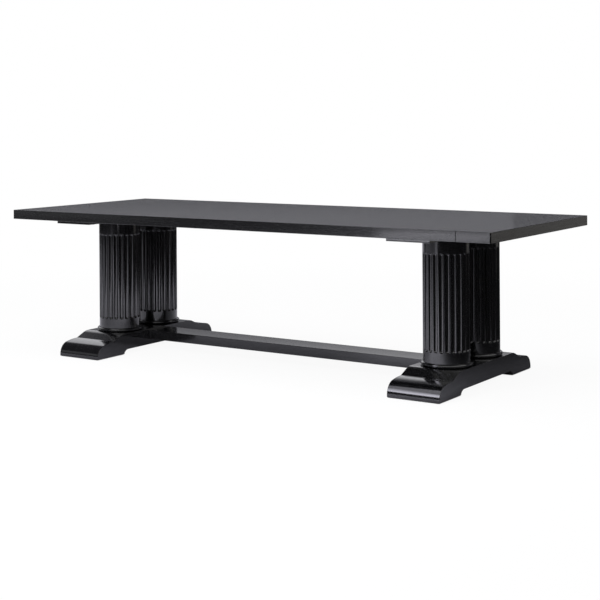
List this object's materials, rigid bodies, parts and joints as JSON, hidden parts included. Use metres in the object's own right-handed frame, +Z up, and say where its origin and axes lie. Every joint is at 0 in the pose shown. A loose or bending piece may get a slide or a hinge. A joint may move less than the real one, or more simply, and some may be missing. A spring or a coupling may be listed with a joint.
{
  "type": "trestle dining table",
  "caption": "Long rectangular black wooden dining table: breadboard top on two trestles of fluted columns, sled feet with bullnosed toes and a flat low stretcher.",
  "frame": {"origin": "on the floor under the middle of the top", "axes": "+X along the table, +Y across it towards the rear, +Z up"},
  "size_m": [2.8, 1.1, 0.766],
  "materials": {
    "top_wood": "black stain, satin lacquer",
    "trestle_wood": "black stain, satin lacquer",
    "raw_wood": "unfinished",
    "zinc_steel": "zinc plated",
    "insert_brass": "plain",
    "black_nylon": "matt"
  },
  "bodies": {
    "root": {"top_panel": "top_wood", "end_board_left": "top_wood", "end_board_right": "top_wood", "bearer_left": "trestle_wood", "bearer_right": "trestle_wood", "foot_left": "trestle_wood", "foot_right": "trestle_wood", "stretcher": "trestle_wood", "end_board_pegs": "raw_wood", "base_dowels": "raw_wood", "column_left_front": "trestle_wood", "column_base_left_front": "trestle_wood", "column_head_left_front": "raw_wood", "glides_left_front": "black_nylon", "column_left_rear": "trestle_wood", "column_base_left_rear": "trestle_wood", "column_head_left_rear": "raw_wood", "glides_left_rear": "black_nylon", "column_right_front": "trestle_wood", "column_base_right_front": "trestle_wood", "column_head_right_front": "raw_wood", "glides_right_front": "black_nylon", "column_right_rear": "trestle_wood", "column_base_right_rear": "trestle_wood", "column_head_right_rear": "raw_wood", "glides_right_rear": "black_nylon", "tie_rods": "zinc_steel", "tie_rod_nuts": "zinc_steel", "tie_rod_washers": "zinc_steel", "tee_nuts": "zinc_steel", "bearer_screws": "zinc_steel", "top_screws": "zinc_steel", "stretcher_bolts": "zinc_steel", "stretcher_bolt_washers": "zinc_steel", "stretcher_inserts": "insert_brass"}
  },
  "joints": []
}
